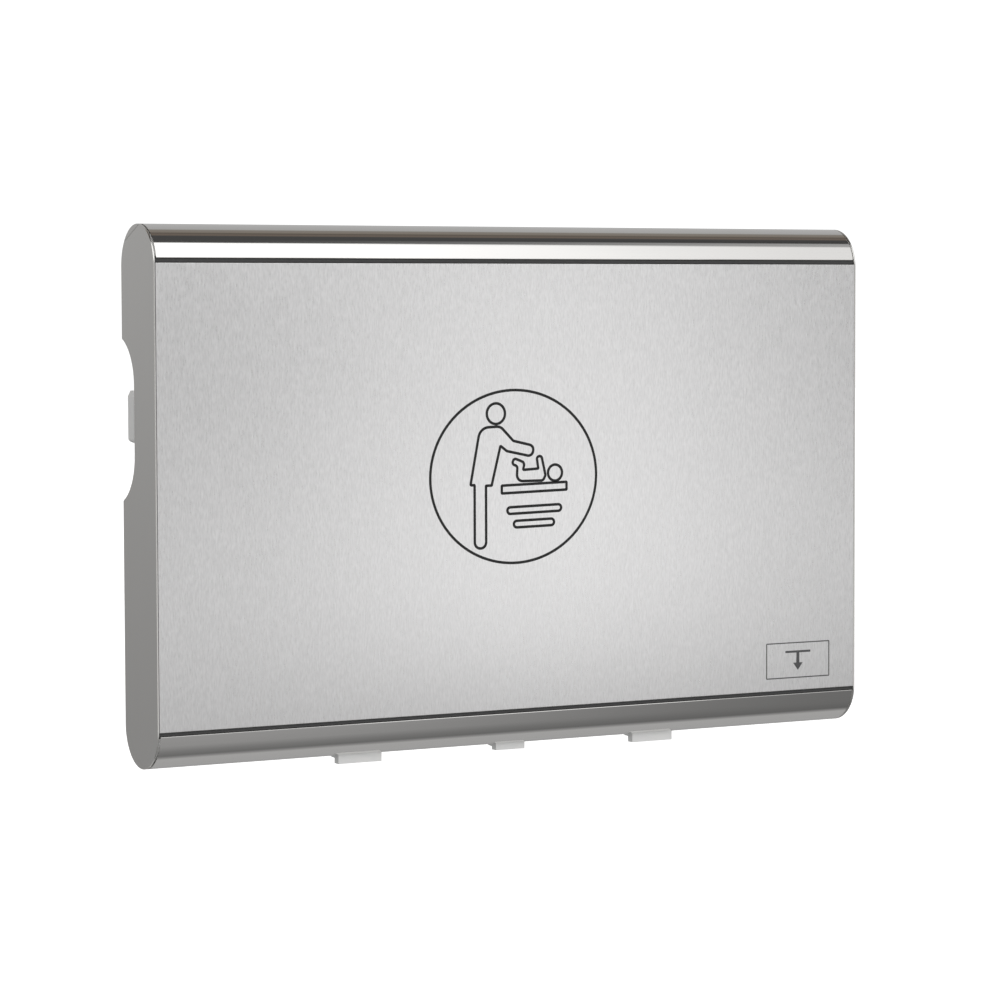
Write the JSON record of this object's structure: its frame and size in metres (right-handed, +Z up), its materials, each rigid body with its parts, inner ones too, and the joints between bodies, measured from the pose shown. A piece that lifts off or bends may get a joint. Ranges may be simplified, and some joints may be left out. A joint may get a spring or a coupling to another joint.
{
  "type": "baby changing station",
  "caption": "Wall-mounted horizontal baby changing station with a brushed steel front, rounded steel edges, a fold-down moulded tray, gas springs and bag hooks.",
  "frame": {"origin": "middle of the wall plate's back face, on the wall", "axes": "+X along the station to the viewer's right, +Y into the wall, +Z up"},
  "size_m": [0.87, 0.088, 0.5795],
  "materials": {
    "brushed_steel": "satin, brushed",
    "polished_steel": "polished",
    "zinc_steel": "zinc plated",
    "light_plastic": "fine grain",
    "black_plastic": "satin",
    "dark_rubber": "matte",
    "bronze": "sintered",
    "webbing": "woven",
    "paper": "matte"
  },
  "bodies": {
    "wall_unit": {"backing_plate": "zinc_steel", "wall_housing": "light_plastic", "hinge_cover": "light_plastic", "instruction_plate": "light_plastic", "liner_box": "light_plastic", "liner_cover": "light_plastic", "liner_stack": "paper", "catch_magnet": "black_plastic", "housing_screw_1": "zinc_steel", "housing_screw_2": "zinc_steel", "housing_screw_3": "zinc_steel", "housing_screw_4": "zinc_steel", "bag_hook_left": "light_plastic", "bumper_left": "dark_rubber", "strut_bracket_wall_left": "zinc_steel", "bag_hook_right": "light_plastic", "bumper_right": "dark_rubber", "strut_bracket_wall_right": "zinc_steel", "hinge_bracket_left": "zinc_steel", "hinge_bush_left_1": "bronze", "hinge_bush_left_2": "bronze", "hinge_bracket_centre": "zinc_steel", "hinge_bush_centre_1": "bronze", "hinge_bush_centre_2": "bronze", "hinge_bracket_right": "zinc_steel", "hinge_bush_right_1": "bronze", "hinge_bush_right_2": "bronze"},
    "bed": {"front_panel": "brushed_steel", "top_profile": "polished_steel", "bottom_profile": "polished_steel", "rear_top_cover": "light_plastic", "top_groove_strip": "dark_rubber", "bottom_groove_strip": "dark_rubber", "tray": "light_plastic", "strap_lower": "webbing", "strap_upper": "webbing", "buckle_socket": "black_plastic", "buckle_tongue": "black_plastic", "panel_stiffener": "zinc_steel", "hinge_rail": "zinc_steel", "hinge_shaft": "zinc_steel", "catch_striker": "zinc_steel", "side_plate_left": "brushed_steel", "cheek_left": "light_plastic", "shaft_cap_left": "zinc_steel", "strut_bracket_bed_left": "zinc_steel", "side_plate_right": "brushed_steel", "cheek_right": "light_plastic", "shaft_cap_right": "zinc_steel", "strut_bracket_bed_right": "zinc_steel", "hinge_arm_left": "zinc_steel", "stop_lug_left": "light_plastic", "hinge_arm_centre": "zinc_steel", "stop_lug_centre": "light_plastic", "hinge_arm_right": "zinc_steel", "stop_lug_right": "light_plastic"},
    "strut_tube_left": {"strut_tube_left": "black_plastic"},
    "strut_rod_left": {"strut_rod_left": "polished_steel"},
    "strut_tube_right": {"strut_tube_right": "black_plastic"},
    "strut_rod_right": {"strut_rod_right": "polished_steel"}
  },
  "joints": [
    {"name": "bed_hinge", "type": "hinge", "parent": "wall_unit", "child": "bed", "pos_m": [0, -0.044, -0.255], "axis": [1, 0, 0], "range_deg": [0, 90], "stiffness_Nm_per_rad": 4.5, "springref_deg": -45.84},
    {"name": "strut_swing_left", "type": "hinge", "parent": "wall_unit", "child": "strut_tube_left", "pos_m": [-0.404, -0.014, -0.201], "axis": [1, 0, 0], "range_deg": [0, 91]},
    {"name": "strut_slide_left", "type": "slide", "parent": "strut_tube_left", "child": "strut_rod_left", "axis": [0, -0.2472, 0.969], "range_m": [0, 0.088]},
    {"name": "strut_swing_right", "type": "hinge", "parent": "wall_unit", "child": "strut_tube_right", "pos_m": [0.404, -0.014, -0.201], "axis": [1, 0, 0], "range_deg": [0, 91]},
    {"name": "strut_slide_right", "type": "slide", "parent": "strut_tube_right", "child": "strut_rod_right", "axis": [0, -0.2472, 0.969], "range_m": [0, 0.088]}
  ],
  "couplings": [
    {"joint": "strut_swing_left", "follows": "bed_hinge", "ratio": 1.0055},
    {"joint": "strut_slide_left", "follows": "bed_hinge", "m_per_rad": 0.0556},
    {"joint": "strut_swing_right", "follows": "bed_hinge", "ratio": 1.0055},
    {"joint": "strut_slide_right", "follows": "bed_hinge", "m_per_rad": 0.0556}
  ]
}
